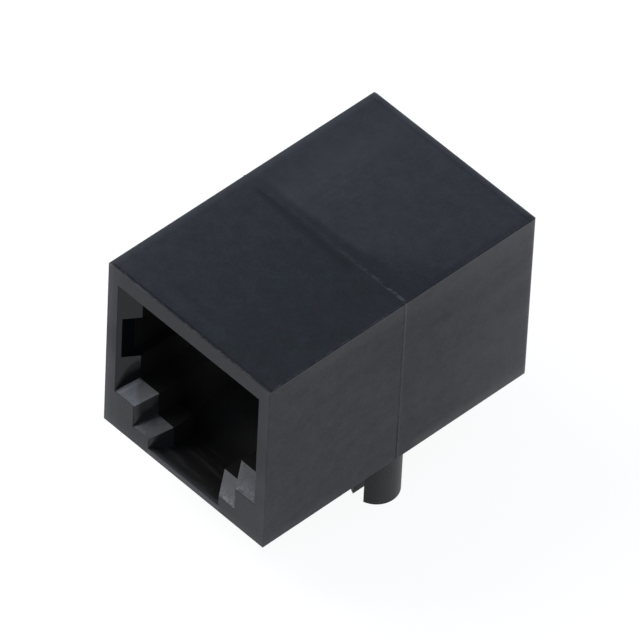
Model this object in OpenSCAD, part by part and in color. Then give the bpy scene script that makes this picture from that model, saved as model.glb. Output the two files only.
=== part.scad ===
// Six-position modular telephone socket, right-angled for a circuit board, latch side down.
// Millimetres. +X is to the right seen from the plug side, +Y runs from the mouth to the rear and
// +Z is up from the board. The origin lies on the board, midway between the two locating pegs.

/* [Plug throat] */
// Width of the straight throat that guides the plug
throat_w = 9.92; // [9.4:0.02:10.6]
// Height of the throat, floor to top
throat_h = 6.83; // [6.4:0.01:7.6]
// Height of the throat's floor above the board
throat_floor = 3.77; // [3.4:0.01:4.6]
// Thickness of the front wall, which the plug's latch hooks behind
lip_d = 2.7; // [2:0.1:3.2]

/* [Latch keyway] */
// Gap between the two upper shoulders
shoulder_gap = 6.8; // [6:0.05:7.6]
// Height of the lower shoulders above the board
shoulder_floor = 2.02; // [1.7:0.01:2.4]
// Width of the latch channel between the lower shoulders
latch_w = 4.2; // [3.4:0.02:5]
// Height of the latch channel's floor above the board
latch_floor = 0.44; // [0.42:0.01:0.9]
// Round on the front edge of that floor
latch_r = 0.05; // [0.02:0.01:0.3]
// Width of the pocket behind the front wall that the latch springs into
pocket_w = 7; // [7:0.05:8]
// Height of that pocket's floor above the board
pocket_floor = 0.36; // [0.3:0.01:0.42]

/* [Lead-in] */
// Depth of the flared lead-in behind the front face
lead_d = 1.2; // [0.6:0.05:1.8]
// How far the lead-in opens out at each side
lead_side = 0.82; // [0.4:0.02:1]
// How far the lead-in opens out above, and below at the upper shoulders
lead_rise = 0.92; // [0.3:0.01:1.1]
// How far the lead-in opens out below, at the lower shoulders
shoulder_rise = 0.82; // [0.3:0.01:1]

/* [Housing] */
// Side wall beside the throat
side_wall = 1.64; // [1.4:0.02:2.4]
// Side wall beside the insert and behind the side grooves
thin_wall = 1; // [0.8:0.02:1.2]
// Wall above the insert
roof_t = 1; // [0.8:0.01:1.6]
// Round on the outer edges
edge_r = 0.06; // [0.03:0.01:0.3]
// Round on the outer edges at the rear
rear_r = 0.3; // [0.05:0.01:0.6]
// Width of the ledge that carries each side of the insert's plate
ledge_w = 0.4; // [0.2:0.05:0.6]
// Height of the side grooves' lower edge above the board
groove_z = 5.63; // [4.6:0.01:6.4]
// Height of the side grooves
groove_h = 3.1; // [2:0.05:4]
// Height of the ridge at the mould's parting line
flash_h = 0.008; // [0.004:0.002:0.03]
// Width of that ridge
flash_w = 0.06; // [0.04:0.01:0.2]

/* [Board pegs] */
// Distance between the two pegs
peg_pitch = 10.16; // [9.4:0.02:10.3]
// Peg diameter
peg_d = 2.88; // [2.4:0.02:3.2]
// Peg length below the board's face
peg_l = 3.5; // [2:0.05:4]
// Round on the rim of a peg's tip
peg_tip = 0.05; // [0.05:0.05:0.5]
// Slot that splits each peg into two prongs
peg_slot = 0.86; // [0.4:0.01:1.2]
// Distance from the front face to the pegs, which stand on the parting line
peg_setback = 10.3; // [9.6:0.1:12]

/* [Contacts] */
// Contact wire diameter
wire_d = 0.46; // [0.4:0.01:0.5]
// Spacing of the wires in the plug cavity
plug_pitch = 1.02; // [0.98:0.01:1.06]
// Spacing of the tails across the board, taking both rows together
tail_pitch = 1.27; // [1.1:0.01:1.4]
// Distance from the pegs to the front row of tails
row_y = 6.35; // [6:0.01:7]
// Distance between the two rows of tails
row_gap = 2.54; // [2:0.01:3]
// Tail length below the board's face
tail_l = 3.3; // [2:0.05:3.4]
// Centreline bend radius where a wire turns down into its tail
tail_bend = 0.6; // [0.5:0.05:0.8]
// Angle at which the spring arms slope down into the cavity
spring_angle = 19.5; // [16:0.5:23]
// How far the spring arms' free ends reach into the insert's comb
comb_reach = 0.6; // [0.3:0.05:0.8]
// Length of the taper on a tail's tip
tip_l = 0.35; // [0.1:0.05:0.6]

/* [Contact insert] */
// Distance from the pegs to the housing's shoulder that stops the insert
seat_y = 2.3; // [1.8:0.1:2.6]
// Distance from the rear row of tails to the housing's rear face
rear_wall = 1.3; // [0.8:0.01:2]
// How far the insert's rear face lies inside the housing
rear_recess = 0.2; // [0.05:0.05:0.6]
// Height of the insert's underside above the board
foot_gap = 0.3; // [0.1:0.05:0.6]
// Thickness of the plate under the wire grooves
web_t = 0.5; // [0.4:0.05:0.7]
// Gap from the front wall to the plate's nose and the wires bent round it
nose_gap = 0.15; // [0.1:0.05:0.4]
// Wall left round the coring pocket in the insert's underside
core_wall = 0.8; // [0.6:0.05:0.95]
// Height of the snap ridges on the insert's sides
snap_h = 0.25; // [0.1:0.05:0.4]
// Length of the snap ridges' ramp, front to rear
snap_l = 1; // [0.6:0.1:1.6]

/* [Clearances] */
// Between the insert and the walls it slides along
slide_clear = 0.05; // [0.02:0.01:0.1]
// Between a wire and its groove or hole
wire_clear = 0.02; // [0.01:0.01:0.04]

/* [Hidden] */
$fn = 64;
WIRES = 6;

// How far a cut runs past an open face, and a peg's root into the floor
past = 0.3;
// Bend radius where a wire swings from the plug spacing to the tail spacing
swing_r = 1;
// How much thicker a bend's radius is than the straight wire's, and how far a run goes into it
bend_over = 0.006;
run_in = 0.05;
// Width of the room for a wire, and half of it
way_w = wire_d + 2 * wire_clear;
way_r = way_w / 2;

// Places along Y
front = -peg_setback;
rear = row_y + row_gap + rear_wall;
lip_y = front + lip_d;
nose_y = lip_y + nose_gap;
insert_y = seat_y + slide_clear;
insert_rear = rear - rear_recess;
arm_y = seat_y + comb_reach;
comb_y = arm_y + way_r;
swing_front = comb_y;
swing_rear = row_y - tail_bend - way_w;

// Heights, from the throat's top up through the plate and its wires to the roof
throat_top = throat_floor + throat_h;
web_z = throat_top + slide_clear;
groove_floor = web_z + web_t;
wire_z = groove_floor + way_r;
plate_top = groove_floor + way_w;
ceiling = plate_top + slide_clear;
body_h = ceiling + roof_t;

// Widths
body_w = throat_w + 2 * side_wall;
insert_room = body_w - 2 * thin_wall;
insert_w = insert_room - 2 * slide_clear;
channel_w = throat_w + 2 * ledge_w;
plate_w = channel_w - 2 * slide_clear;

// The bend round the plate's nose, and the slope that follows it
nose_r = web_t / 2 + way_r;
nose_centre = [nose_y + nose_r + way_r, wire_z - nose_r];
nose_turn = 180 - spring_angle;
arm_z = wire_z - (arm_y - nose_centre.x + nose_r * tan(nose_turn / 2)) * tan(spring_angle);

function unit(v) = v / norm(v);
function wire_x(i, pitch) = (i - (WIRES + 1) / 2) * pitch;
function tail_y(i) = row_y + (i % 2 == 0 ? row_gap : 0);

// Extrudes a shape drawn in (Y, Z) along X, centred on X = 0
module along_x(length) {
    rotate([90, 0, 90]) linear_extrude(length, center = true) children();
}

// A block from one corner to the opposite one
module block(low, high) {
    translate(low) cube(high - low);
}

// The same block on both sides of the X = 0 plane
module both_sides() {
    for (side = [0, 1]) mirror([side, 0, 0]) children();
}

// A rectangle from low to high whose corners have one radius at its low X end and one at its high end
module round_rect(low, high, r_low, r_high) {
    size = high - low;
    translate([low.x + r_low, low.y]) square([size.x - r_low - r_high, size.y]);
    translate([low.x, low.y + r_low]) square([size.x / 2, size.y - 2 * r_low]);
    translate([low.x + size.x / 2, low.y + r_high]) square([size.x / 2, size.y - 2 * r_high]);
    for (y = [low.y + r_low, high.y - r_low]) translate([low.x + r_low, y]) circle(r_low);
    for (y = [low.y + r_high, high.y - r_high]) translate([high.x - r_high, y]) circle(r_high);
}

// The outer block: three round-cornered prisms cross, so that every outer edge is rounded
module blank() {
    half = body_w / 2;
    intersection() {
        linear_extrude(body_h) rotate(90) round_rect([front, -half], [rear, half], edge_r, rear_r);
        along_x(body_w) round_rect([front, 0], [rear, body_h], edge_r, rear_r);
        translate([0, rear, 0]) rotate([90, 0, 0]) linear_extrude(rear - front)
            round_rect([-half, 0], [half, body_h], edge_r, edge_r);
    }
}

// The ridge left where the two mould halves meet, over the top and down both sides
module parting_ridge() {
    // The ridge's slopes start inside the wall, so that they cross its face
    inset = flash_h / 2;
    base = flash_w * (flash_h + inset) / flash_h / 2;
    half = body_w / 2;
    intersection() {
        translate([0, 0, edge_r]) linear_extrude(body_h) polygon([
            [-half + inset, -base], [half - inset, -base], [half + flash_h, 0],
            [half - inset, base], [-half + inset, base], [-half - flash_h, 0]]);
        along_x(body_w + 2 * flash_h) polygon([
            [-base, 0], [base, 0], [base, body_h - inset], [0, body_h + flash_h], [-base, body_h - inset]]);
    }
}

// A split peg with a rounded rim: two prongs with a slot between them that runs front to rear
module peg() {
    difference() {
        rotate_extrude() polygon([
            [0, -peg_l],
            for (a = [90:-22.5:0]) [peg_d / 2 - peg_tip * (1 - cos(a)), peg_tip * (1 - sin(a)) - peg_l],
            [peg_d / 2, past], [0, past]]);
        block([-peg_slot / 2, -peg_d, -peg_l - past], [peg_slot / 2, peg_d, 0]);
    }
}

// A straight hole from the front face to the depth y_end, flared at its mouth by the lead-in.
// Where its floor isn't flared, the floor's front edge can be rounded instead.
module flared_hole(w, low, high, y_end, rise_low = 0, rise_high = 0, round_low = 0) {
    // The slopes are carried on past the front face
    over = 1 + past / lead_d;
    half = w / 2;
    wide = half + lead_side * over;
    y_lead = front + lead_d;
    intersection() {
        linear_extrude(body_h) polygon([
            [-wide, front - past], [wide, front - past], [half, y_lead],
            [half, y_end], [-half, y_end], [-half, y_lead]]);
        along_x(2 * wide) {
            polygon([
                [front - past, low - rise_low * over], [y_lead, low], [y_end, low],
                [y_end, high], [y_lead, high], [front - past, high + rise_high * over]]);
            if (round_low > 0) difference() {
                translate([front - past, low - round_low]) square([past + round_low, round_low + past]);
                translate([front + round_low, low - round_low]) circle(round_low);
            }
        }
    }
}

// The plug's way in: the throat and, below it, the two steps of the latch keyway
module plug_mouth() {
    mid = (throat_floor + throat_top) / 2;
    flared_hole(throat_w, throat_floor, throat_top, insert_y, lead_rise, lead_rise);
    flared_hole(shoulder_gap, shoulder_floor, mid, lip_y + past, shoulder_rise);
    flared_hole(latch_w, latch_floor, mid, lip_y + past, round_low = latch_r);
}

// What is open behind the front wall: latch pocket, plate channel, insert pocket and side grooves
module inner_rooms() {
    half_pocket = pocket_w / 2;
    half_channel = channel_w / 2;
    half_room = insert_room / 2;
    block([-half_pocket, lip_y, pocket_floor], [half_pocket, insert_y, throat_floor + past]);
    block([-half_channel, lip_y, throat_top], [half_channel, insert_y, ceiling]);
    block([-half_room, seat_y, -past], [half_room, rear + past, ceiling]);
    block([-half_room, front - past, groove_z], [half_room, insert_y, groove_z + groove_h]);
}

// A snap ridge on the +X side: a ramp that rises to the rear, grown all round by the clearance
module snap_ridge(clear = 0) {
    z_mid = (throat_floor + throat_top) / 2;
    height = throat_h / 2 + 2 * clear;
    wall = insert_w / 2;
    y_top = row_y + row_gap / 2;
    translate([0, 0, z_mid - height / 2]) linear_extrude(height) polygon([
        [wall - past, y_top - snap_l - clear], [wall, y_top - snap_l - clear],
        [wall + snap_h + clear, y_top - clear], [wall + snap_h + clear, y_top + clear],
        [wall - past, y_top + clear]]);
}

module housing() {
    color([0.17, 0.18, 0.2]) {
        difference() {
            union() {
                blank();
                parting_ridge();
            }
            plug_mouth();
            inner_rooms();
            both_sides() snap_ridge(slide_clear);
        }
        both_sides() translate([peg_pitch / 2, 0, 0]) peg();
    }
}

// Plan of a wire from the nose to its tail: straight, across to the tail spacing, straight again
function track(i) = [
    [wire_x(i, plug_pitch), nose_y - past],
    [wire_x(i, plug_pitch), swing_front],
    [wire_x(i, tail_pitch), swing_rear],
    [wire_x(i, tail_pitch), tail_y(i)]];

// Offset of a track's edge at its point k, mitred where the track turns
function left(v) = [-v.y, v.x];
function edge_offset(points, k) =
    let (last = len(points) - 1)
    let (before = left(unit(points[max(k, 1)] - points[max(k, 1) - 1])))
    let (after = left(unit(points[min(k, last - 1) + 1] - points[min(k, last - 1)])))
    let (middle = unit(before + after))
    middle * way_r / (middle * before);

// The groove in the insert's top for one wire
module groove_plan(i) {
    points = track(i);
    last = len(points) - 1;
    polygon([
        for (k = [0:last]) points[k] + edge_offset(points, k),
        for (k = [last:-1:0]) points[k] - edge_offset(points, k)]);
}

// The slot in the plate's nose, which leaves a round edge for the wire to bend over
module nose_slot() {
    along_x(way_w) difference() {
        translate([nose_y - past, web_z - past]) square([nose_centre.x - nose_y + past, plate_top - web_z]);
        translate(nose_centre) circle(web_t / 2);
    }
}

// The hole for one tail, with a round inner corner where the wire bends down into it
module tail_way(y) {
    corner_r = tail_bend - way_r;
    centre = [y - tail_bend, wire_z - tail_bend];
    translate([0, y, 0]) cylinder(h = plate_top + past, r = way_r + wire_clear);
    along_x(way_w) difference() {
        translate(centre) square([tail_bend, tail_bend]);
        translate(centre) circle(corner_r);
    }
}

// The slot in the insert's front face that guides one spring arm's free end
module comb_slot() {
    room = wire_d;
    block([-way_r - wire_clear, seat_y, arm_z - room], [way_r + wire_clear, comb_y, web_z]);
}

// Everything cut from the insert for one wire
module wire_way(i) {
    translate([0, 0, groove_floor]) linear_extrude(way_w + past) groove_plan(i);
    translate([wire_x(i, plug_pitch), 0, 0]) {
        nose_slot();
        comb_slot();
    }
    translate([wire_x(i, tail_pitch), 0, 0]) {
        tail_way(tail_y(i));
        if (tail_y(i) > row_y) block([-way_r, tail_y(i), 0], [way_r, insert_rear + past, plate_top + past]);
    }
}

// The pocket in the insert's underside that keeps its walls even
module core_pocket() {
    half = insert_w / 2 - core_wall;
    block([-half, comb_y + core_wall, 0], [half, row_y - way_r - core_wall, web_z - core_wall]);
}

module contact_insert() {
    half_block = insert_w / 2;
    half_plate = plate_w / 2;
    color([0.12, 0.12, 0.13]) difference() {
        union() {
            block([-half_block, insert_y, foot_gap], [half_block, insert_rear, plate_top]);
            block([-half_plate, nose_y, web_z], [half_plate, insert_y + past, plate_top]);
            both_sides() snap_ridge();
        }
        for (i = [1:WIRES]) wire_way(i);
        core_pocket();
    }
}

// Places children's Z axis along the direction z and X axis along x, at the point p
module placed(p, x, z) {
    y = cross(z, x);
    multmatrix([
        [x.x, y.x, z.x, p.x],
        [x.y, y.y, z.y, p.y],
        [x.z, y.z, z.z, p.z],
        [0, 0, 0, 1]]) children();
}

// A straight run of wire along Z, with its first end tapered over the length taper
module straight_run(length, taper) {
    r = wire_d / 2;
    rotate_extrude() polygon([
        [0, 0], if (taper > 0) [r / 2, 0], [r, taper], [r, length], [0, length]]);
}

// A round wire along a list of points, bent at each inner point to the radius given for it.
// The straight runs end a little inside the bends, which are a hair thicker.
module bent_wire(points, radii, taper) {
    last = len(points) - 1;
    function heading(k) = unit(points[k + 1] - points[k]);
    function turn(k) = acos(heading(k - 1) * heading(k));
    function trim(k) = k == 0 || k == last ? 0 : radii[k] * tan(turn(k) / 2) - run_in;
    function across(k) = unit(cross(heading(k - 1), heading(k)));
    for (k = [0:last - 1]) {
        start = points[k] + heading(k) * trim(k);
        length = norm(points[k + 1] - points[k]) - trim(k) - trim(k + 1);
        placed(start, across(max(k, 1)), heading(k)) straight_run(length, k == 0 ? taper : 0);
    }
    for (k = [1:last - 1]) {
        outward = unit(heading(k - 1) - heading(k));
        centre = points[k] - outward * radii[k] / cos(turn(k) / 2);
        begin = unit(points[k] - heading(k - 1) * radii[k] * tan(turn(k) / 2) - centre);
        placed(centre, begin, across(k)) rotate_extrude(angle = turn(k))
            translate([radii[k], 0]) circle(wire_d / 2 + bend_over);
    }
}

// One formed contact wire: solder tail, bend over the insert, bend round the nose, spring arm
module contact(i) {
    plug_x = wire_x(i, plug_pitch);
    tail_x = wire_x(i, tail_pitch);
    nose_corner = nose_centre.x - nose_r * tan(nose_turn / 2);
    color([0.85, 0.68, 0.32]) bent_wire([
        [tail_x, tail_y(i), -tail_l],
        [tail_x, tail_y(i), wire_z],
        [tail_x, swing_rear, wire_z],
        [plug_x, swing_front, wire_z],
        [plug_x, nose_corner, wire_z],
        [plug_x, arm_y, arm_z]], [0, tail_bend, swing_r, swing_r, nose_r, 0], tip_l);
}

housing();
contact_insert();
for (i = [1:WIRES]) contact(i);
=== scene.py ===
# %% [markdown]
# # A telephone socket for a circuit board
#
# The socket is a black moulded box that takes a modular telephone plug. Behind its mouth, an insert
# carries six bent wires, which touch the plug's contacts and end in solder tails under the box.
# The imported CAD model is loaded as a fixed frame, in metres. This lesson dresses it: the housing and the
# insert keep their CAD shape and get a moulded finish, and the wires are drawn again as smooth tubes.
# Lengths on the part and to the camera are in millimetres, and MM turns them into metres. Those of the
# table and the lamps are in metres.

# %% Load the frame
import math
from types import SimpleNamespace

import bpy
import numpy as np
from mathutils import Matrix, Vector


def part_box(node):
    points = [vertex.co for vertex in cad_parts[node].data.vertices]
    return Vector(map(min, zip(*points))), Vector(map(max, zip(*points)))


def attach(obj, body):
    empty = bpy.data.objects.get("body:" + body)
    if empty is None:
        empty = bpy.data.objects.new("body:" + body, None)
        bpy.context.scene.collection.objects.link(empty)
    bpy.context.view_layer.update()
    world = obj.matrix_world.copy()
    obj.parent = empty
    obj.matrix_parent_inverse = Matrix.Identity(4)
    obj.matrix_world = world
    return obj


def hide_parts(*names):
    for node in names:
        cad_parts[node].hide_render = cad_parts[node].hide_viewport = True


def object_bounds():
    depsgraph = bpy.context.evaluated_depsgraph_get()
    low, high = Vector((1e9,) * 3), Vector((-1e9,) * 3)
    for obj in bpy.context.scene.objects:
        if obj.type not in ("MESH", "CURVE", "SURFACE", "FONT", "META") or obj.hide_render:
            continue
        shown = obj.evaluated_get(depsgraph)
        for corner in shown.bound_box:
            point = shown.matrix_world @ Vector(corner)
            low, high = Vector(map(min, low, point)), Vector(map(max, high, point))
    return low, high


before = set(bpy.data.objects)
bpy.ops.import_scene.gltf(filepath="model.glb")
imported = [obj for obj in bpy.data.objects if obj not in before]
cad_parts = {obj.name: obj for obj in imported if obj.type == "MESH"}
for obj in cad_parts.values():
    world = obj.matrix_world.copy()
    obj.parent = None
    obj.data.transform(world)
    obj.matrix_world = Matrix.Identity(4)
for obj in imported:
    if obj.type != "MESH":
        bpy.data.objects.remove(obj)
cad_low, cad_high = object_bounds()

MM = 0.001
housing_low, housing_high = (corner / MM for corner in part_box("housing"))
print("nodes", sorted(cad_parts))
print("box in mm", [round(v / MM, 2) for v in (*cad_low, *cad_high)])

# %% [markdown]
# ## The camera
#
# A product photograph like this is taken from far away with a long lens, so that parallel edges stay
# nearly parallel. The camera's angles, distance and lens were solved from the seven corners of the box
# that can be seen. A matrix is built from three directions (right, up and back), because a track
# constraint has no way to give the slight roll that a hand-held or tilted camera has.

# %% Camera at the photograph's angle
VIEW_AZIMUTH = math.radians(44.782)
VIEW_ELEVATION = math.radians(46.486)
VIEW_ROLL = math.radians(2.920)
VIEW_DISTANCE = 677.0
AIM = Vector((0.0, -0.1, 6.35))
LENS = 677.9
SENSOR_WIDTH = 36.0
IMAGE_SIZE = 640
PHOTO_CENTRE = (0.87, -1.73)
CLIP_METRES = (0.01, 20.0)

view_back = Vector((
    math.sin(VIEW_AZIMUTH) * math.cos(VIEW_ELEVATION),
    -math.cos(VIEW_AZIMUTH) * math.cos(VIEW_ELEVATION),
    math.sin(VIEW_ELEVATION)))
level_right = Vector((0, 0, 1)).cross(view_back).normalized()
level_up = view_back.cross(level_right)
view_right = level_right * math.cos(VIEW_ROLL) + level_up * math.sin(VIEW_ROLL)
view_up = level_up * math.cos(VIEW_ROLL) - level_right * math.sin(VIEW_ROLL)

camera_data = bpy.data.cameras.new("photo_camera")
camera_data.lens = LENS
camera_data.sensor_width = SENSOR_WIDTH
camera_data.shift_x, camera_data.shift_y = (pixels / IMAGE_SIZE for pixels in PHOTO_CENTRE)
camera_data.clip_start, camera_data.clip_end = CLIP_METRES
camera = bpy.data.objects.new("photo_camera", camera_data)
turn = Matrix((view_right, view_up, view_back)).transposed().to_4x4()
camera.matrix_world = Matrix.Translation((AIM + view_back * VIEW_DISTANCE) * MM) @ turn
bpy.context.scene.collection.objects.link(camera)
bpy.context.scene.camera = camera
bpy.context.scene.view_settings.view_transform = "Standard"
print("camera looks down at", round(math.degrees(VIEW_ELEVATION), 1), "degrees")

# %% [markdown]
# ## Shader maths as Python
#
# A moulded surface is a sum of many small effects: grain, streaks, a seam, rubbed edges. Wiring each
# with Math nodes by hand hides the formula. So one small class wraps a shader socket, and Python's
# operators on it add the Math nodes. Every other node comes from one method, which sets the node's own
# settings first and then gives its sockets values or links.

# %% The socket class and the node method
class Signal:
    """One shader output. An operator on it adds a Math node and returns that node's output."""

    def __init__(self, finish, socket):
        self.finish = finish
        self.socket = socket

    def __add__(self, other):
        return self.finish.math("ADD", self, other)

    def __sub__(self, other):
        return self.finish.math("SUBTRACT", self, other)

    def __rsub__(self, other):
        return self.finish.math("SUBTRACT", other, self)

    def __mul__(self, other):
        return self.finish.math("MULTIPLY", self, other)

    def __truediv__(self, other):
        return self.finish.math("DIVIDE", self, other)

    def __abs__(self):
        return self.finish.math("ABSOLUTE", self)

    __radd__ = __add__
    __rmul__ = __mul__


SOOT = (0.001, 0.001, 0.001, 1)


class Finish:
    """The nodes of one material or of the world."""

    def __init__(self, owner):
        self.owner = owner
        owner.use_nodes = True
        self.tree = owner.node_tree
        self.tree.nodes.clear()

    def node(self, kind, settings=None, sockets=None, output=0):
        """Adds a node of a type, with its settings and then its sockets' values or links."""
        made = self.tree.nodes.new("ShaderNode" + kind)
        for name, value in (settings or {}).items():
            setattr(made, name, value)
        for name, value in (sockets or {}).items():
            if isinstance(value, Signal):
                self.tree.links.new(value.socket, made.inputs[name])
            else:
                made.inputs[name].default_value = value
        return Signal(self, made.outputs[output]) if made.outputs else None

    def math(self, operation, *values):
        """A Math node on one or more values or signals."""
        return self.node("Math", {"operation": operation}, dict(enumerate(values)))

    def smooth(self, value, low, high):
        """0 below low, 1 above high, and an S-curve between them."""
        return self.node(
            "MapRange", {"interpolation_type": "SMOOTHSTEP"},
            {"Value": value, "From Min": low, "From Max": high})

    def fall(self, value, low, high):
        """1 below low, 0 above high, and an S-curve between them."""
        return 1 - self.smooth(value, low, high)

    def bell(self, value, centre, reach):
        """1 at the centre, falling to 0 at a distance of reach on either side."""
        return self.fall(abs(value - centre), 0.0, reach)

    def tint(self, share, first, second):
        """A colour between two, by share."""
        return self.node("Mix", {"data_type": "RGBA"}, {0: share, 6: first, 7: second}, output=2)

    def place(self):
        """The point in millimetres, as a vector, and its three numbers."""
        point = self.node("TexCoord", output="Object")
        point = self.node("VectorMath", {"operation": "SCALE"}, {0: point, "Scale": 1 / MM})
        split = [self.node("SeparateXYZ", None, {0: point}, output=axis) for axis in "XYZ"]
        return point, *split

    def noise(self, point, scale, detail=2.0, stretch=(1, 1, 1), roughness=0.5):
        """Fractal noise from 0 to 1, with scale features to a millimetre, stretched along the axes."""
        point = self.node("VectorMath", {"operation": "MULTIPLY"}, {0: point, 1: stretch})
        return self.node("TexNoise", None, {
            "Vector": point, "Scale": scale, "Detail": detail, "Roughness": roughness})

    def bump(self, height):
        """A normal bent by a height in millimetres."""
        return self.node("Bump", None, {"Height": height, "Strength": 1.0, "Distance": MM})

    def principled(self, crack_and_shade=None, **sockets):
        """Ends the material in a Principled shader, whose sockets are named with spaces as _.

        Where the black share is 1, a plain black takes its place: in a crack that gives no light back, and
        as painted shade.
        """
        named = {name.replace("_", " "): value for name, value in sockets.items()}
        shader = self.node("BsdfPrincipled", None, named)
        if crack_and_shade is not None:
            soot = self.node("BsdfDiffuse", None, {"Color": SOOT})
            shader = self.node("MixShader", None, {0: crack_and_shade, 1: shader, 2: soot})
        self.node("OutputMaterial", None, {"Surface": shader})
        return self.owner


# %% [markdown]
# ## The table top and the light
#
# The socket was photographed on white, under a large soft lamp from the front left and above, with a
# dim and slightly blue room behind it. Black plastic shows mostly what it mirrors, so the
# surroundings are built with care: the front and right faces mirror the white table, the sloped
# lead-ins mirror the lamp, and the top mirrors the dim room. The table adds a little light of its own
# for rays from the camera and for mirrored ones, so it is white there and still keeps a shadow.

# %% The white table
TABLE_REACH = 3.0
TABLE_WHITE = 0.16
TABLE_GLOW = 0.92


def table_sheet(reach, height, rings=12, spokes=64):
    """A round sheet: radius r and angle a run over a grid, and a point is (r cos a, r sin a, height)."""
    r = reach * np.linspace(0, 1, rings + 1)[1:, None] ** 2
    a = np.linspace(0, 2 * np.pi, spokes, endpoint=False)[None, :]
    grid = np.stack([r * np.cos(a), r * np.sin(a), np.full((rings, spokes), height)], -1).reshape(-1, 3)
    ring = np.arange(rings - 1)[:, None] * spokes
    here, there = np.arange(spokes)[None, :], (np.arange(spokes)[None, :] + 1) % spokes
    quads = np.stack([ring + here, ring + spokes + here, ring + spokes + there, ring + there], -1)
    return grid, [list(range(spokes))] + quads.reshape(-1, 4).tolist()


table_points, table_faces = table_sheet(TABLE_REACH, cad_low.z)
table_mesh = bpy.data.meshes.new("table_top")
table_mesh.from_pydata(table_points.tolist(), [], table_faces)
table = bpy.data.objects.new("table_top", table_mesh)
bpy.context.scene.collection.objects.link(table)

white = Finish(bpy.data.materials.new("table_white"))
seen = white.math(
    "MAXIMUM",
    white.node("LightPath", output="Is Camera Ray"),
    white.math(
        "MAXIMUM",
        white.node("LightPath", output="Is Glossy Ray"),
        white.node("LightPath", output="Is Transmission Ray")))
matte = white.node("BsdfDiffuse", None, {"Color": (TABLE_WHITE, TABLE_WHITE, TABLE_WHITE, 1)})
glow = white.node("Emission", None, {"Color": (1, 1, 1, 1), "Strength": seen * TABLE_GLOW})
white.node("OutputMaterial", None, {"Surface": white.node("AddShader", None, {0: matte, 1: glow})})
table_mesh.materials.append(white.owner)
print("table at", round(cad_low.z / MM, 2), "mm")

# %% The room and the lamps
ROOM_LOW = (0.79, 0.80, 0.84, 1)
ROOM_HIGH = (0.23, 0.30, 0.42, 1)
ROOM_FADE = (0.15, 0.6)
LAMPS = {
    "key_lamp": {"towards": (-0.66, -0.30, 0.69), "away": 0.5, "size": 0.38, "radiance": 5.2},
    "side_lamp": {"towards": (0.75, -0.25, 0.6), "away": 0.6, "size": 0.3, "radiance": 0.6},
}

room = bpy.data.worlds.new("room")
bpy.context.scene.world = room
air = Finish(room)
upward = air.node("SeparateXYZ", None, {0: air.node("TexCoord", output="Generated")}, output="Z")
wall = air.tint(air.smooth(upward, *ROOM_FADE), ROOM_LOW, ROOM_HIGH)
air.node("OutputWorld", None, {"Surface": air.node("Background", None, {"Color": wall})})

for name, lamp in LAMPS.items():
    lamp_data = bpy.data.lights.new(name, "AREA")
    lamp_data.shape = "DISK"
    lamp_data.size = lamp["size"]
    # A matt disk sends out its radiance times pi times its area.
    lamp_area = math.pi * lamp["size"] ** 2 / 4
    lamp_data.energy = lamp["radiance"] * math.pi * lamp_area
    towards = Vector(lamp["towards"]).normalized()
    lamp_object = bpy.data.objects.new(name, lamp_data)
    lamp_object.matrix_world = Matrix.Translation(AIM * MM + towards * lamp["away"]) @ (
        towards.to_track_quat("Z", "Y").to_matrix().to_4x4())
    bpy.context.scene.collection.objects.link(lamp_object)
    print(name, "gives", round(lamp_data.energy, 3), "W")

# %% [markdown]
# ## The housing's finish
#
# The housing is glass-filled polyester, black right through. Its outside has the fine grain of a
# spark-eroded mould. The core that forms the mouth was polished as far as the front of the cavity, so
# those walls are darker and glossier: they mirror the white table near the front and the dark cavity
# further in.
# The two mould halves met round the middle, and each half has its own grain: the rear half drags along
# the steel as it leaves, so it is a little shinier and has short streaks along the box.
# All of this is painted by where a point lies in the part's own millimetres, because the CAD mesh has
# no painted map, and a rule by position stays right when the mesh is cut into other triangles.
#
# First come the places: a share from 0 to 1 for each part of the surface that has a finish of its own.
# The outer faces are known by how close a point lies to the housing's box.

# %% Places on the outer faces
def face_places(paint, x, y, z):
    """Shares of the top, the sides, the front, the pegs and the half behind the parting line."""
    top = paint.smooth(z, housing_high.z - 0.10, housing_high.z - 0.02)
    start = 0.40 + 0.22 * paint.smooth(x, -3.0, 3.0) - 0.4 * paint.smooth(x, 2.8, 4.5)
    return {
        "top": top,
        "flank": paint.smooth(abs(x), housing_high.x - 0.10, housing_high.x - 0.02) * (1 - top),
        "front": paint.fall(y - housing_low.y, 0.02, 0.06),
        "peg": paint.fall(z, -0.1, 0.0),
        "rear_half": paint.smooth(y, start, start + 0.5 + 4.2 * paint.smooth(x, 1.5, 6.2))}


print("housing box in mm", [round(v, 2) for v in (*housing_low, *housing_high)])

# %% [markdown]
# ### The mouth
#
# The mouth flares from the front face down to a straight throat, and below the throat a keyway of two
# steps lets the plug's latch in. The steps have sloped ramps on top and upright risers between them.
# Their faces could be picked by hand in Edit Mode, but the pick is lost when the CAD model changes. So
# each is known by the plane that it lies in: all over a ramp, the height less the slope times the depth
# is one number.

# %% Places in the mouth
# The mouth's walls lie deeper than SKIN below the box's top and sides. The flared lead-in and the
# channel's floor end at these depths behind the front face. Each ramp has its height at that
# face, and its slope.
SKIN = 0.5
LEAD_DEPTH = 1.2
LIP_DEPTH = 2.7
RAMPS = {"upper": (2.85, 0.767), "lower": (1.20, 0.683)}


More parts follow.
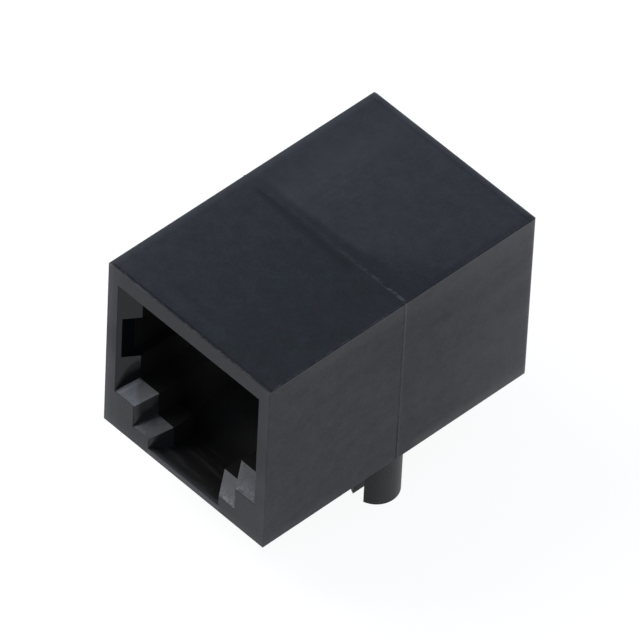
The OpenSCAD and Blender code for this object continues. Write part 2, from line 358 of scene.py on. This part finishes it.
def mouth_places(paint, x, y, z):
    """Shares of the cavity, the two ramps, the channel's floor and sill, and the other lead-in walls."""
    depth = y - housing_low.y
    inside = (
        paint.smooth(depth, 0.03, 0.09) * paint.smooth(housing_high.x - abs(x), SKIN, SKIN + 0.05)
        * paint.smooth(housing_high.z - z, SKIN, SKIN + 0.05) * paint.smooth(z, 0.15, 0.2))
    cavity = inside * paint.smooth(depth, LEAD_DEPTH, LEAD_DEPTH + 0.06)
    lead_in = inside - cavity
    upper_ramp, lower_ramp = (
        lead_in * paint.bell(z - slope * depth, level, 0.1) for level, slope in RAMPS.values())
    channel = paint.fall(abs(x), 2.9, 3.0)
    floor = paint.fall(z, 0.45, 0.48) * paint.smooth(z, 0.38, 0.40)
    return {
        "inside": inside,
        "outside": 1 - inside,
        "cavity": cavity,
        "upper_ramp": upper_ramp,
        "lower_ramp": lower_ramp,
        "ramp": upper_ramp + lower_ramp,
        "walls": lead_in * (1 - upper_ramp - lower_ramp),
        "floor": floor * channel * paint.fall(depth, LIP_DEPTH, LIP_DEPTH + 0.1),
        "sill": paint.fall(z, 0.44, 0.48) * channel * paint.fall(depth, 0.0, 0.4)}


for name, (_, slope) in RAMPS.items():
    print(name, "ramp rises at", round(math.degrees(math.atan(slope)), 1), "degrees")

# %% Places on the steps of the keyway
# At the front face the risers stand at RISER on either side of the middle, and the upper ramps reach on
# for the width of SHELF. The flared sides close in by SIDE_SLOPE with the depth.
RISER, SHELF, SIDE_SLOPE = 4.22, 1.56, 0.683


def step_places(paint, x, y, z, mouth):
    """Shares of the ramps' corners, the risers below them and the cheeks above them, and where painted
    shade goes on them.
    """
    depth = y - housing_low.y
    from_riser = (abs(x) - RISER + SIDE_SLOPE * depth) / SHELF
    keyway = mouth["walls"] * (1 - mouth["floor"]) * paint.fall(abs(x), 4.3, 4.4) * paint.fall(z, 3.6, 3.8)
    left_over = 1 - depth / LEAD_DEPTH
    arc = RAMPS["upper"][0] + 2.3 * (1 - left_over * left_over)
    cheek = mouth["walls"] * paint.smooth(abs(x), 4.75, 4.85)
    return {
        "facet": mouth["upper_ramp"] * paint.smooth(from_riser - depth / LEAD_DEPTH, -0.1, 0.1),
        "nosing": mouth["upper_ramp"] * paint.fall(from_riser, 0.0, 0.2),
        "foot": mouth["upper_ramp"] * paint.smooth(from_riser, 0.70, 0.92),
        "tread": mouth["lower_ramp"] * paint.fall(abs(x) + SIDE_SLOPE * depth, 3.83, 4.15),
        "keyway": keyway,
        # brow, tread and shade mark where painted shade darkens the risers, the lower ramps and the cheeks
        "brow": keyway * paint.smooth(z - RAMPS["lower"][1] * depth, 1.5, 2.1),
        "shade": cheek * (0.14 + 0.46 * paint.fall(z - arc, -0.1, 0.35))}


print("risers are", round(2 * (RISER - SIDE_SLOPE * LEAD_DEPTH), 2), "mm apart at the throat")

# %% [markdown]
# ### The edges
#
# An edge that was moulded sharp is soon rubbed by fingers and by the tray, so it carries a thin pale
# line, which is partly painted highlight on the edge's rounding. Behind it lies a ragged rim of painted
# shade, and the crest of the top's edges gets a ragged painted highlight. Each is a bell across the edge.
# All the places are then put under one name, so that a finish can ask for any of them.

# %% Places along the edges, and all places together
def edge_places(paint, x, y, z, top):
    """Shares of the rubbed edges, the crest that gets a ragged painted highlight and the rim behind them
    that gets painted shade.
    """
    side, roof = housing_high.x, housing_high.z
    depth = y - housing_low.y
    front_edges = (
        0.2 * paint.bell(z, roof - 0.06, 0.06)
        + 0.5 * paint.bell(x, side, 0.12) + 0.6 * paint.bell(x, -side, 0.1))
    crest = paint.bell(abs(x), side, 0.18) * paint.fall(y, -0.8, 0.4) + paint.bell(depth, 0.0, 0.18)
    rim = (
        paint.bell(depth, 0.17, 0.17) * (1 - 0.5 * paint.smooth(x, 1.0, 5.0))
        + 0.45 * paint.smooth(x, side - 0.7, side - 0.2) * paint.smooth(y, 1.2, 4.0))
    return {
        "front_edges": paint.bell(depth, 0.0, 0.1) * front_edges,
        "side_edges": paint.bell(abs(x), side, 0.2) * paint.bell(z, roof - 0.04, 0.24),
        "crest": paint.smooth(z, roof - 0.05, roof - 0.01) * crest,
        "rim": top * rim}


def housing_places(paint, x, y, z):
    """The point's numbers and all the shares, each under its own name."""
    faces = face_places(paint, x, y, z)
    mouth = mouth_places(paint, x, y, z)
    return SimpleNamespace(
        x=x, y=y, z=z, depth=y - housing_low.y, left=paint.smooth(-1 * x, 0.0, 1.0),
        **faces, **mouth, **step_places(paint, x, y, z, mouth),
        **edge_places(paint, x, y, z, faces["top"]))


# %% [markdown]
# ### What is left to chance
#
# A moulded face is never quite even: the mould's grain is irregular, filler gathers in clouds, and the
# steel drags lines into the plastic. A scanned image could show this, but it would repeat and it fits
# only one size. So each kind of unevenness is one fractal noise in space, fine or coarse, round or
# stretched along the way the plastic slid.

# %% Noises of the housing
GRAIN_SCALE = 11.0


def housing_noise(paint, point):
    """Fractal noises from 0 to 1, each for one kind of unevenness."""
    return SimpleNamespace(
        grain=paint.noise(point, GRAIN_SCALE, detail=3.0, roughness=0.7),
        mottle=paint.noise(point, 5.0, detail=3.0, roughness=0.6),
        patchy=paint.noise(point, 2.2, detail=3.0, roughness=0.6),
        blotch=paint.noise(point, 1.3, detail=3.0, roughness=0.6),
        cloud=paint.noise(point, 0.35, detail=3.0),
        fleck=paint.noise(point, 2.6, detail=1.0),
        hue=paint.smooth(paint.noise(point, 0.8, detail=3.0), 0.3, 0.7),
        streak=paint.noise(point, 9.0, detail=2.0, stretch=(1, 0.05, 0.3)),
        smear=paint.noise(point, 1.4, detail=3.0, stretch=(1, 0.3, 1)),
        across=paint.noise(point, 3.0, detail=2.0, stretch=(0.12, 1, 1)))


# %% [markdown]
# ### The parting line
#
# The parting line is where the mould's halves met. Worn steel leaves a thin flash there, and a painted
# highlight makes it a bright broken hair over the right third of the top and a faint light line elsewhere.
# In front of it the surface sinks a little along the left two thirds, and the sink's darkness is painted
# shade. Down the sides a fine dark crack lies in front of the light line.
# The ridge itself is in the CAD model, so the finish only has to make it dull or bright along its length.
# Each share is a bell across the line times a mask along it.

# %% Parting line shares
def parting_line(paint, at, noise):
    """The sunk band with its painted shade before the line, the flash's painted highlight, and the dark
    crack down the sides.
    """
    centre = -0.14 - 0.24 * paint.smooth(at.x, -4.6, 2.2)
    # painted shade: a band in front of the line is darkened where the surface sinks
    sink_shade_along = (
        paint.smooth(at.x, -6.0, -3.8) * paint.fall(at.x, 1.8, 3.4)
        * (1 - 0.35 * paint.fall(at.x, -2.5, -0.5)))
    sink_shade_across = paint.smooth(at.y, centre - 0.55, centre) * paint.fall(at.y, centre, 0.02)
    broken = paint.smooth(noise.patchy, 0.42, 0.58)
    # painted highlight: the flash's bright broken hair on the top and its light line down the sides
    top_flash_highlight = broken * paint.smooth(at.x, 0.7, 1.3) * (
        0.16 + 0.24 * paint.smooth(at.x, 2.6, 3.4) + 0.3 * paint.smooth(at.x, 4.2, 4.8))
    side_flash_highlight = (0.3 + 0.2 * paint.smooth(at.z, 7.5, 10.0)) * (0.6 + 0.4 * broken)
    side_crack = 0.14 + 0.26 * paint.fall(at.z, 2.2, 3.6)
    top_crack = 0.19 * paint.fall(at.x, -0.5, 1.5)
    return SimpleNamespace(
        sink_shade=at.top * sink_shade_along * sink_shade_across,
        flash_highlight=(
            at.top * paint.bell(at.y, 0.09, 0.17) * top_flash_highlight
            + at.flank * paint.bell(at.y, 0.08, 0.10) * side_flash_highlight),
        crack=(
            at.flank * paint.bell(at.y, -0.08, 0.08) * side_crack
            + at.top * paint.bell(at.y, 0.0, 0.08) * top_crack))


# %% [markdown]
# ### Where it shines
#
# Each face has its own slow change of gloss. The rear half of the top came off a smoother part of the
# steel. The side and the front are rubbed brighter along their rims, where a socket is held and where
# it slid in its tray, and the posts beside the mouth sink a little at half height, where the walls
# behind them are thickest. The gloss is a plain sum for each face, and never falls below zero.

# %% Gloss of each face
def top_gloss(paint, at, noise, line):
    """Falls from left to right, rises behind the parting line and along the left and rear rims."""
    rear = (
        0.40 - 0.16 * paint.fall(at.x, -5.8, -4.4) + 0.09 * paint.bell(at.x, -3.7, 1.2)
        - 0.08 * paint.bell(at.x, -0.8, 2.2) * paint.fall(at.y, 4.0, 7.0))
    left_rim = (
        0.7 * paint.fall(at.x, -6.6, -5.95)
        + 0.12 * paint.fall(at.x, -6.3, -4.8) * (1 - at.rear_half))
    rear_rim = 0.3 * paint.smooth(at.y, 9.68, 9.85) - 0.14 * paint.bell(at.y, 9.62, 0.16)
    return at.top * (
        0.03 - 0.028 * at.x + 0.4 * (noise.blotch - 0.5) - 0.4 * line.sink_shade
        + at.rear_half * rear + left_rim + rear_rim
        + 0.1 * paint.bell(at.y, 0.17, 0.14) * paint.smooth(at.x, -3.5, -2.5)
        + 0.1 * paint.bell(at.depth, 0.95, 0.6)
        + 0.1 * paint.smooth(at.x, 2.0, 6.0) * paint.smooth(at.y, 5.0, 9.0))


def side_gloss(paint, at, noise):
    """Rises towards the rear, and along the top, bottom and rear rims."""
    foot = paint.fall(at.z, 0.0, 1.1) * (
        0.18 * paint.fall(at.y, -5.0, -3.6) + 0.36 * paint.smooth(at.y, 0.8, 1.8))
    brow = paint.smooth(at.z, 11.4 - paint.smooth(at.y, -1.0, 2.0), 12.1) * paint.smooth(at.y, -9.6, -7.0)
    return at.flank * (
        0.065 + 0.20 * paint.smooth(at.y, 1.0, 10.0)
        + 0.26 * (noise.blotch - 0.5) + 0.12 * (noise.smear - 0.5) + foot + 0.13 * brow
        - 0.06 * paint.bell(at.z, 9.4, 1.0) * paint.smooth(at.y, -6.0, -4.0)
        - 0.07 * paint.bell(at.z, 7.0, 1.6) * paint.smooth(at.y, 1.0, 6.0)
        + 0.07 * paint.fall(at.y, -9.8, -8.2) * paint.fall(at.z, 2.4, 4.6)
        + 0.10 * paint.smooth(at.y, 9.0, 10.0) + 0.14 * paint.smooth(at.y, 9.72, 9.88))


def front_gloss(paint, at):
    """Rises towards the left post and along both outer rims and the foot, and dips at half height."""
    return at.front * (
        0.10 * paint.smooth(-1 * at.x, 5.2, 5.8) + 0.22 * paint.smooth(-1 * at.x, 5.95, 6.45)
        + 0.035 * paint.smooth(at.x, 6.0, 6.5) + 0.03 * paint.smooth(abs(at.x), 3.4, 5.4)
        + 0.025 * paint.smooth(at.x, 3.4, 5.0) * paint.fall(at.z, 2.8, 3.4)
        + 0.08 * paint.fall(at.z, 2.5, 4.5) + 0.15 * paint.fall(at.z, 0.25, 0.8)
        + 0.11 * paint.bell(at.z, 4.7, 1.5) - 0.12 * paint.bell(at.z, 7.2, 1.8))


# %% [markdown]
# ### The blacks
#
# Black polyester isn't one black. The filler gives it warm and cool patches, and the sides and the left
# post are a bluer black. The mouth's polished lead-in is the darkest. The cavity's deep walls get a paler
# black, which is painted light lifting their deep shade. Latches scuff the channel's floor, and painted
# light makes it paler towards the open front and along its rear edge. The ramps are rubbed to a chalky
# grey by every plug, and the same grey paints their highlights. One colour per place, mixed in one after
# the other, is easier to tune than one big colour ramp.

# %% Blacks of the outside
WARM_BLACK, COOL_BLACK = (0.0141, 0.0143, 0.0178, 1), (0.0127, 0.0143, 0.0195, 1)
VIOLET_BLACK, TEAL_BLACK = (0.0140, 0.0142, 0.0205, 1), (0.0096, 0.0162, 0.0169, 1)
FLANK_BLACK = (0.0132, 0.0142, 0.0225, 1)
POST_BLACK = (0.0145, 0.0138, 0.0240, 1)
PEG_BLACK = (0.0134, 0.0152, 0.0170, 1)


def outside_black(paint, at, noise):
    """Patches of warm and cool black, stronger on the top's front half, and bluer sides and left post."""
    patches = paint.tint(noise.hue, VIOLET_BLACK, TEAL_BLACK)
    patched = 0.7 * at.top * (1 - at.rear_half) * paint.smooth(at.x, -3.0, 0.0)
    post = 0.8 * at.front * paint.smooth(-1 * at.x, 5.9, 6.1) * paint.smooth(at.z, 1.5, 3.0)
    black = paint.tint(noise.hue, WARM_BLACK, COOL_BLACK)
    black = paint.tint(0.5 * at.flank, black, FLANK_BLACK)
    black = paint.tint(patched, black, patches)
    black = paint.tint(post, black, POST_BLACK)
    return paint.tint(at.peg, black, PEG_BLACK)


# %% Blacks of the mouth
LEAD_IN_BLACK = (0.0075, 0.0090, 0.0105, 1)
LIP_BLACK, DEEP_LIFTED_BLACK = (0.0090, 0.0085, 0.0080, 1), (0.045, 0.043, 0.040, 1)
KEYWAY_BLACK = (0.0115, 0.0135, 0.0155, 1)
FLOOR_BLACK, FLOOR_SCUFF_AND_LIGHT = (0.0060, 0.0055, 0.0050, 1), (0.034, 0.033, 0.034, 1)
RAMP_BLACK = (0.014, 0.015, 0.017, 1)
LEFT_CHALK_AND_HIGHLIGHT, RIGHT_CHALK_AND_HIGHLIGHT = (0.065, 0.0725, 0.083, 1), (0.073, 0.072, 0.078, 1)


def ramp_chalk_and_highlight(paint, at, noise):
    """Dark to chalky grey, partly by plugs' rubbing and partly as painted highlight: most at the front, the
    left facet, the nosing and the right ramps.
    """
    # painted highlight: the ramps grow lighter towards the front, on the left facet and on the right ramps,
    # on top of the grey of plugs' rubbing
    rubbed = (
        paint.smooth(noise.blotch, 0.3, 0.7) * paint.fall(at.depth, 0.1, 0.9) + 0.35 * (noise.mottle - 0.5)
        + 0.9 * at.facet * at.left + 0.4 * at.nosing + 0.5 * at.ramp * (1 - at.left))
    return paint.tint(rubbed, RAMP_BLACK, paint.tint(at.left, RIGHT_CHALK_AND_HIGHLIGHT, LEFT_CHALK_AND_HIGHLIGHT))


def mouth_black(paint, at, noise, black):
    """The outside's black, replaced place by place from the lead-in to the cavity, floor and ramps."""
    floor = at.floor * at.inside
    # scuffs from latches across the floor, and painted light: paler towards the open front and a painted
    # highlight along the floor's rear edge
    scuff_and_light = floor * (
        0.05 + 0.4 * paint.fall(at.depth, 0.3, 1.3) * noise.mottle
        + 0.4 * paint.smooth(noise.across, 0.5, 0.7) + 0.5 * paint.bell(at.depth, LIP_DEPTH, 0.06))
    black = paint.tint(at.inside, black, LEAD_IN_BLACK)
    black = paint.tint(at.cavity, black, LIP_BLACK)
    # painted light: the cavity's deep walls get a paler black that lifts their deep shade
    black = paint.tint(at.cavity * paint.smooth(at.depth, 2.9, 6.0), black, DEEP_LIFTED_BLACK)
    black = paint.tint(at.keyway, black, KEYWAY_BLACK)
    black = paint.tint(floor, black, FLOOR_BLACK)
    black = paint.tint(scuff_and_light, black, FLOOR_SCUFF_AND_LIGHT)
    return paint.tint(at.ramp, black, ramp_chalk_and_highlight(paint, at, noise))


# %% [markdown]
# ### Wear, and how light or dull a place is
#
# Wear shows as streaks dragged along the rear half, pale rubbed edges with a few specks, and nicks on the
# ramps. Painted light joins it: a painted highlight along the rubbed edges and their crest, a ragged rim of
# painted shade behind them, and a painted highlight on the upper-left ramp. Each is a place times a noise,
# most of them cut to hard flecks. The tone adds up the grain, the clouds of uneven filling and the
# mottling, less what is dull: the sunk band, the right of the top and the pegs, which are painted shade,
# and a patch behind the top's front edge, the posts at half height and the bar over the mouth.

# %% Wear and tone
def housing_wear_and_painted_light(paint, at, noise):
    """Shares of the streaks, the ragged rim of painted shade, the ragged painted highlight on the crest,
    the pale edges and specks, and the nicked ramps with a painted highlight.
    """
    chip = at.ramp * paint.fall(at.depth, 0.12, 0.5) * paint.smooth(noise.mottle, 0.52, 0.66)
    # painted highlight on the upper-left ramp beside the lead-in, mixed below with real chips at the ramps'
    # front
    ramp_highlight = (0.4 + 0.7 * paint.smooth(at.depth, 0.1, 0.4)) * paint.fall(at.depth, 0.8, 1.4)
    return SimpleNamespace(
        dragged=at.top * at.rear_half * paint.smooth(noise.streak, 0.50, 0.72) * (
            0.35 + 0.65 * paint.bell(at.x, -2.2, 3.4) * paint.fall(at.y, 3.0, 8.0)),
        # painted shade in the ragged rim behind the top's edges, and a ragged painted highlight on their
        # crest
        ragged_shade=at.rim * paint.smooth(noise.mottle, 0.34, 0.56),
        ragged_highlight=at.crest * paint.smooth(noise.patchy, 0.44, 0.60),
        speck=at.front_edges * paint.smooth(noise.fleck, 0.66, 0.70),
        # rubbed edges: wear, and a painted highlight on the edges' rounding
        rubbed=(at.front_edges + 0.3 * at.side_edges) * (0.5 + 0.5 * paint.smooth(noise.mottle, 0.35, 0.6)),
        nicks_and_highlight=paint.math(
            "MAXIMUM", at.foot * at.left * ramp_highlight * (0.4 + 1.2 * noise.mottle),
            chip * (0.25 + 0.35 * (1 - at.left))))


def housing_tone(paint, at, noise, line):
    """The grain, mottling and clouds added up, less what is dull and less painted shade."""
    # painted shade: the sink band, the top darkening towards its right, and the pegs; the other terms
    # darken a patch behind the top's front edge, the posts at half height and the bar over the mouth
    dull_and_shade = (
        0.4 * line.sink_shade + 0.16 * at.top * paint.smooth(at.x, -1.0, 5.0) * (1 - 0.8 * at.rear_half)
        + 0.2 * at.top * paint.bell(at.depth, 1.6, 1.3) * paint.bell(at.x, -1.5, 2.6)
        + 0.12 * at.front * paint.bell(at.z, 7.6, 1.7)
        + at.front * (0.05 + 0.1 * paint.bell(at.x, -0.5, 3.6)) * paint.smooth(at.z, 11.0, 11.5)
        + 0.1 * at.peg)
    uneven = at.top * (1 - at.rear_half) * paint.smooth(at.x, 0.5, 3.5)
    return (1 - dull_and_shade) * (
        0.47 + 0.22 * noise.cloud + 0.5 * noise.mottle + 0.34 * noise.blotch + (noise.grain - 0.5)
        + uneven * (0.4 * noise.mottle + 0.5 * noise.blotch - 0.45))


# %% [markdown]
# ### The layers together
#
# The black is scaled by the tone, and the worn places and the painted highlights are mixed in as a paler
# grey. The plastic's gloss is held by Coat Weight, so that a shinier place mirrors more of the room
# without changing its colour, and roughness sets the polished core and the half-polished ramps apart from
# the grained outside. In the crack a share of plain black stands for a gap that gives no light back. The
# rest of that share is painted shade: on the cheeks it stands in for the dark cavity that a rough mirror
# would blur away, and it also darkens the ragged rim, the risers under their brow, the lower-left ramp
# and the front of the pegs.

# %% Housing material
PALE_WEAR_AND_HIGHLIGHT_GREY, NICK_AND_HIGHLIGHT_GREY = (0.075, 0.078, 0.084, 1), (0.20, 0.20, 0.205, 1)
GRAIN_HEIGHT, POLISH_HEIGHT = 0.009, 0.004


def housing_plastic():
    """Grain, streaks, parting line, rubbed edges, polished mouth, and painted light and shade of the
    housing, by position.
    """
    paint = Finish(bpy.data.materials.new("housing_plastic"))
    point, x, y, z = paint.place()
    at = housing_places(paint, x, y, z)
    noise = housing_noise(paint, point)
    line = parting_line(paint, at, noise)
    wear_and_light = housing_wear_and_painted_light(paint, at, noise)

    black = mouth_black(paint, at, noise, outside_black(paint, at, noise))
    tone = housing_tone(paint, at, noise, line)
    # pale grey of wear and painted highlights: the flash's painted highlight, the sill scraped by latches
    # and painted as a highlight, the ragged painted highlight on the crest, and rubbed edges and specks
    # that also carry a painted edge highlight
    pale_wear_and_highlight = 0.8 * line.flash_highlight + 0.5 * wear_and_light.speck + 0.22 * wear_and_light.rubbed + 0.5 * at.sill + 0.5 * wear_and_light.ragged_highlight
    colour = paint.node("VectorMath", {"operation": "SCALE"}, {0: black, "Scale": tone})
    colour = paint.tint(paint.math("MINIMUM", pale_wear_and_highlight, 1.0), colour, PALE_WEAR_AND_HIGHLIGHT_GREY)
    colour = paint.tint(wear_and_light.nicks_and_highlight, colour, NICK_AND_HIGHLIGHT_GREY)

    gloss = (
        top_gloss(paint, at, noise, line) + side_gloss(paint, at, noise) + front_gloss(paint, at)
        + 0.16 * paint.fall(z, -0.05, 0.0) * paint.smooth(abs(x), 5.2, 6.3)
        + 0.18 * wear_and_light.dragged + 0.3 * line.flash_highlight + 0.45 * wear_and_light.rubbed
        + (0.3 + 0.1 * at.flank) * (noise.grain - 0.5) * at.outside)
    rough = (
        0.54 + 0.06 * (noise.cloud - 0.5) - 0.36 * at.inside + 0.2 * at.floor * at.inside
        + 0.25 * at.cavity * (1 - at.floor) + at.ramp * (0.14 + 0.3 * (noise.mottle - 0.5)))
    # painted shade: plain black darkens the risers under their brow, the lower-left ramp, the cheeks and
    # the front of the pegs
    painted_shade = (
        0.6 * at.brow * paint.smooth(at.depth, 0.08, 0.4) + 0.36 * at.tread * at.left + at.shade
        + 0.18 * at.peg * paint.fall(y, -1.3, -0.6))
    return paint.principled(
        Base_Color=colour, Roughness=rough, IOR=1.34,
        Normal=paint.bump((at.outside * GRAIN_HEIGHT + at.ramp * POLISH_HEIGHT) * noise.grain),
        Coat_Weight=paint.math("MAXIMUM", gloss, 0.0), Coat_Roughness=0.5,
        crack_and_shade=paint.math("MINIMUM", line.crack + 0.45 * wear_and_light.ragged_shade + painted_shade, 1.0))


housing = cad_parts["housing"]
housing.data.materials.clear()
housing.data.materials.append(housing_plastic())
housing_nodes = housing.data.materials[0].node_tree.nodes
print("housing has", len(housing.data.polygons), "faces and", len(housing_nodes), "shader nodes")

# %% [markdown]
# ## The insert's finish
#
# The insert is a second moulding of the same black polyester. It came from a polished cavity and hides
# inside the housing, so it is smooth, with faint flow marks along the direction of filling. Only its rear
# face is in the open, and that is a little uneven, and rubbed near the sides. A painted map would be
# wasted on a piece that hides, and noises by position, one of them stretched along the filling, are enough.

# %% Insert material
FLOW_DARK, FLOW_LIGHT = (0.009, 0.009, 0.010, 1), (0.017, 0.017, 0.019, 1)
RUBBED_GREY = (0.040, 0.040, 0.043, 1)


def insert_plastic():
    """Smooth black moulding with faint flow marks from front to rear."""
    paint = Finish(bpy.data.materials.new("insert_plastic"))
    point, x, y, _ = paint.place()
    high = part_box("contact_insert")[1] / MM
    grain = paint.noise(point, 14.0, detail=2.0)
    flow = paint.noise(point, 1.6, detail=3.0, stretch=(1, 0.2, 1))
    swirl = paint.noise(point, 0.9, detail=4.0, stretch=(1, 1, 0.35), roughness=0.6)
    back = paint.smooth(y, high.y - 0.3, high.y - 0.1)
    rubbed = back * paint.smooth(abs(x), high.x - 0.9, high.x - 0.1) * paint.smooth(swirl, 0.35, 0.65)
    black = paint.tint(flow, FLOW_DARK, FLOW_LIGHT)
    black = paint.tint(0.5 * rubbed, black, RUBBED_GREY)
    rough = 0.42 + 0.16 * flow + back * (0.3 * (swirl - 0.5) + 0.06)
    return paint.principled(
        Base_Color=black, Roughness=rough, IOR=1.45,
        Normal=paint.bump(0.0014 * grain + 0.004 * flow + 0.01 * back * swirl))


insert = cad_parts["contact_insert"]
insert.data.materials.clear()
insert.data.materials.append(insert_plastic())
print("insert has", len(insert.data.polygons), "faces")

# %% [markdown]
# ## The contact wires
#
# Each contact is one length of drawn round wire. It comes up from its solder tail, bends forward over
# the insert, swings across to the plug's spacing, turns round the insert's nose and slopes back into
# the cavity as a spring. A wire is a circle carried along a centreline, so the centreline is worked out
# first: straight runs, joined by arcs that touch both. The circle's plane is turned by the direction of
# travel and the X axis, which no wire ever runs along, so the tube can't twist.

# %% Centreline and tube
# A bend of the CAD wire is a hair thicker than its straight runs, so BEND_R is what the CAD box shows.
WIRE_R = 0.23
BEND_R = 0.236
TAIL_BEND, SWING_BEND, NOSE_BEND = 0.6, 1.0, 0.5
SWING_FRONT, SWING_REAR = 3.15, 5.25
SPRING_SLOPE = math.radians(19.5)
SPRING_END = 2.9
TIP_LENGTH = 0.35
STEP = 0.06


def unit(v):
    """A direction of length one."""
    return v / np.linalg.norm(v)


def bent_line(corners, radii):
    """Points along straight runs joined by arcs, each touching both of its runs.

    At a corner with turn t, the arc starts r tan(t/2) before it, and a point at angle a on the arc is
    start + r sin(a) times the way in, plus r (1 - cos(a)) times the direction towards the arc's centre.
    """
    pieces = [corners[:1]]
    for before, corner, after, r in zip(corners, corners[1:], corners[2:], radii):
        way_in, way_out = unit(corner - before), unit(after - corner)
        turned = math.acos(float(np.clip(way_in @ way_out, -1, 1)))
        inward = unit(way_out - way_in * (way_in @ way_out))
        a = np.linspace(0, turned, max(4, int(turned * r / STEP * 2)))[:, None]
        start = corner - way_in * r * math.tan(turned / 2)
        pieces.append(start + r * np.sin(a) * way_in + r * (1 - np.cos(a)) * inward)
    pieces.append(corners[-1:])
    return np.concatenate(pieces)


def evenly(line, step):
    """The same line with points about one step apart, by the length travelled."""
    travelled = np.r_[0, np.cumsum(np.linalg.norm(np.diff(line, axis=0), axis=1))]
    wanted = np.linspace(0, travelled[-1], int(travelled[-1] / step) + 1)
    return np.stack([np.interp(wanted, travelled, line[:, axis]) for axis in range(3)], 1), wanted


def tube(line, radius, sides=20):
    """A tube: point (k, a) is line k + radius k times (cos a across + sin a over), closed at both ends."""
    along = np.gradient(line, axis=0)
    along /= np.linalg.norm(along, axis=1, keepdims=True)
    across = np.array([1.0, 0, 0]) - along[:, :1] * along
    across /= np.linalg.norm(across, axis=1, keepdims=True)
    over = np.cross(along, across)
    a = np.linspace(0, 2 * np.pi, sides, endpoint=False)[None, :, None]
    spokes = np.cos(a) * across[:, None] + np.sin(a) * over[:, None]
    rings = line[:, None] + radius[:, None, None] * spokes
    count = len(line)
    ring = np.arange(count - 1)[:, None] * sides
    here, there = np.arange(sides)[None, :], (np.arange(sides)[None, :] + 1) % sides
    quads = np.stack([ring + here, ring + there, ring + sides + there, ring + sides + here], -1)
    ends = [list(range(sides))[::-1], list(range((count - 1) * sides, count * sides))]
    return rings.reshape(-1, 3), quads.reshape(-1, 4).tolist() + ends


# %% Contact wire meshes
def contact_corners(node):
    """The corners of one wire's centreline, from its CAD box, tail first."""
    low, high = (np.array(corner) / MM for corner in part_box(node))
    left = low[0] + high[0] < 0
    tail_x, plug_x = (low[0] + BEND_R, high[0] - BEND_R) if left else (high[0] - BEND_R, low[0] + BEND_R)
    tail_y, top = high[1] - BEND_R, high[2] - BEND_R
    nose_turn = math.pi - SPRING_SLOPE
    nose = low[1] + BEND_R + NOSE_BEND - NOSE_BEND * math.tan(nose_turn / 2)
    spring_z = top - (SPRING_END - nose) * math.tan(SPRING_SLOPE)
    return np.array([
        (tail_x, tail_y, low[2]),
        (tail_x, tail_y, top),
        (tail_x, SWING_REAR, top),
        (plug_x, SWING_FRONT, top),
        (plug_x, nose, top),
        (plug_x, SPRING_END, spring_z)])


def contact_tube(node):
    """One wire as a smooth tube, with a tapered tail tip and a rounded spring end."""
    corners = contact_corners(node)
    line, travelled = evenly(bent_line(corners, (TAIL_BEND, SWING_BEND, SWING_BEND, NOSE_BEND)), STEP)
    taper = 0.5 + 0.5 * np.clip(travelled / TIP_LENGTH, 0, 1)
    left_over = np.clip((travelled[-1] - travelled) / WIRE_R, 0, 1)
    dome = np.sqrt(np.clip(1 - (1 - left_over) ** 2, 0.02, 1))
    points, faces = tube(line, WIRE_R * taper * dome)
    mesh = bpy.data.meshes.new(node + "_wire")
    mesh.from_pydata((points * MM).tolist(), [], faces)
    mesh.polygons.foreach_set("use_smooth", np.ones(len(faces), bool))
    wire = bpy.data.objects.new(node + "_wire", mesh)
    bpy.context.scene.collection.objects.link(wire)
    return wire


print("contact_1 turns at", contact_corners("contact_1").round(2).tolist())

# %% [markdown]
# ## The wires' finish
#
# The wire is phosphor bronze with gold over nickel along the spring, and the tail is dipped in solder
# tin. Drawing through a die leaves fine lines along the wire, and the dip ends in a soft uneven edge.
# Two materials, one for each length of wire, would meet at a hard line between two rings of faces. So both
# metals are one shader, and only the colour and the roughness change with height.

# %% Wire material
TIN_TOP = 1.1
DEEP_GOLD, PALE_GOLD = (0.80, 0.56, 0.20, 1), (0.90, 0.69, 0.32, 1)
DULL_TIN, BRIGHT_TIN = (0.55, 0.55, 0.53, 1), (0.70, 0.70, 0.68, 1)


def contact_wire():
    """Gold along the spring, tin along the tail, and drawing marks."""
    paint = Finish(bpy.data.materials.new("contact_wire"))
    point, _, _, z = paint.place()
    cloud = paint.noise(point, 1.5, detail=3.0)
    marks = paint.noise(point, 9.0, detail=1.0, stretch=(1.6, 0.12, 0.12))
    tinned = paint.fall(z + 1.2 * (cloud - 0.5), TIN_TOP - 0.15, TIN_TOP + 0.15)
    gold = paint.tint(cloud, DEEP_GOLD, PALE_GOLD)
    tin = paint.tint(cloud, DULL_TIN, BRIGHT_TIN)
    return paint.principled(
        Base_Color=paint.tint(tinned, gold, tin), Metallic=1.0,
        Roughness=0.28 + 0.12 * marks + 0.12 * tinned * cloud,
        Normal=paint.bump(0.0004 * marks))


wire_finish = contact_wire()
for node in sorted(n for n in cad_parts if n.startswith("contact_") and n != "contact_insert"):
    wire = contact_tube(node)
    wire.data.materials.append(wire_finish)
    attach(wire, "root")
    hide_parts(node)
    print(wire.name, len(wire.data.polygons), "faces")
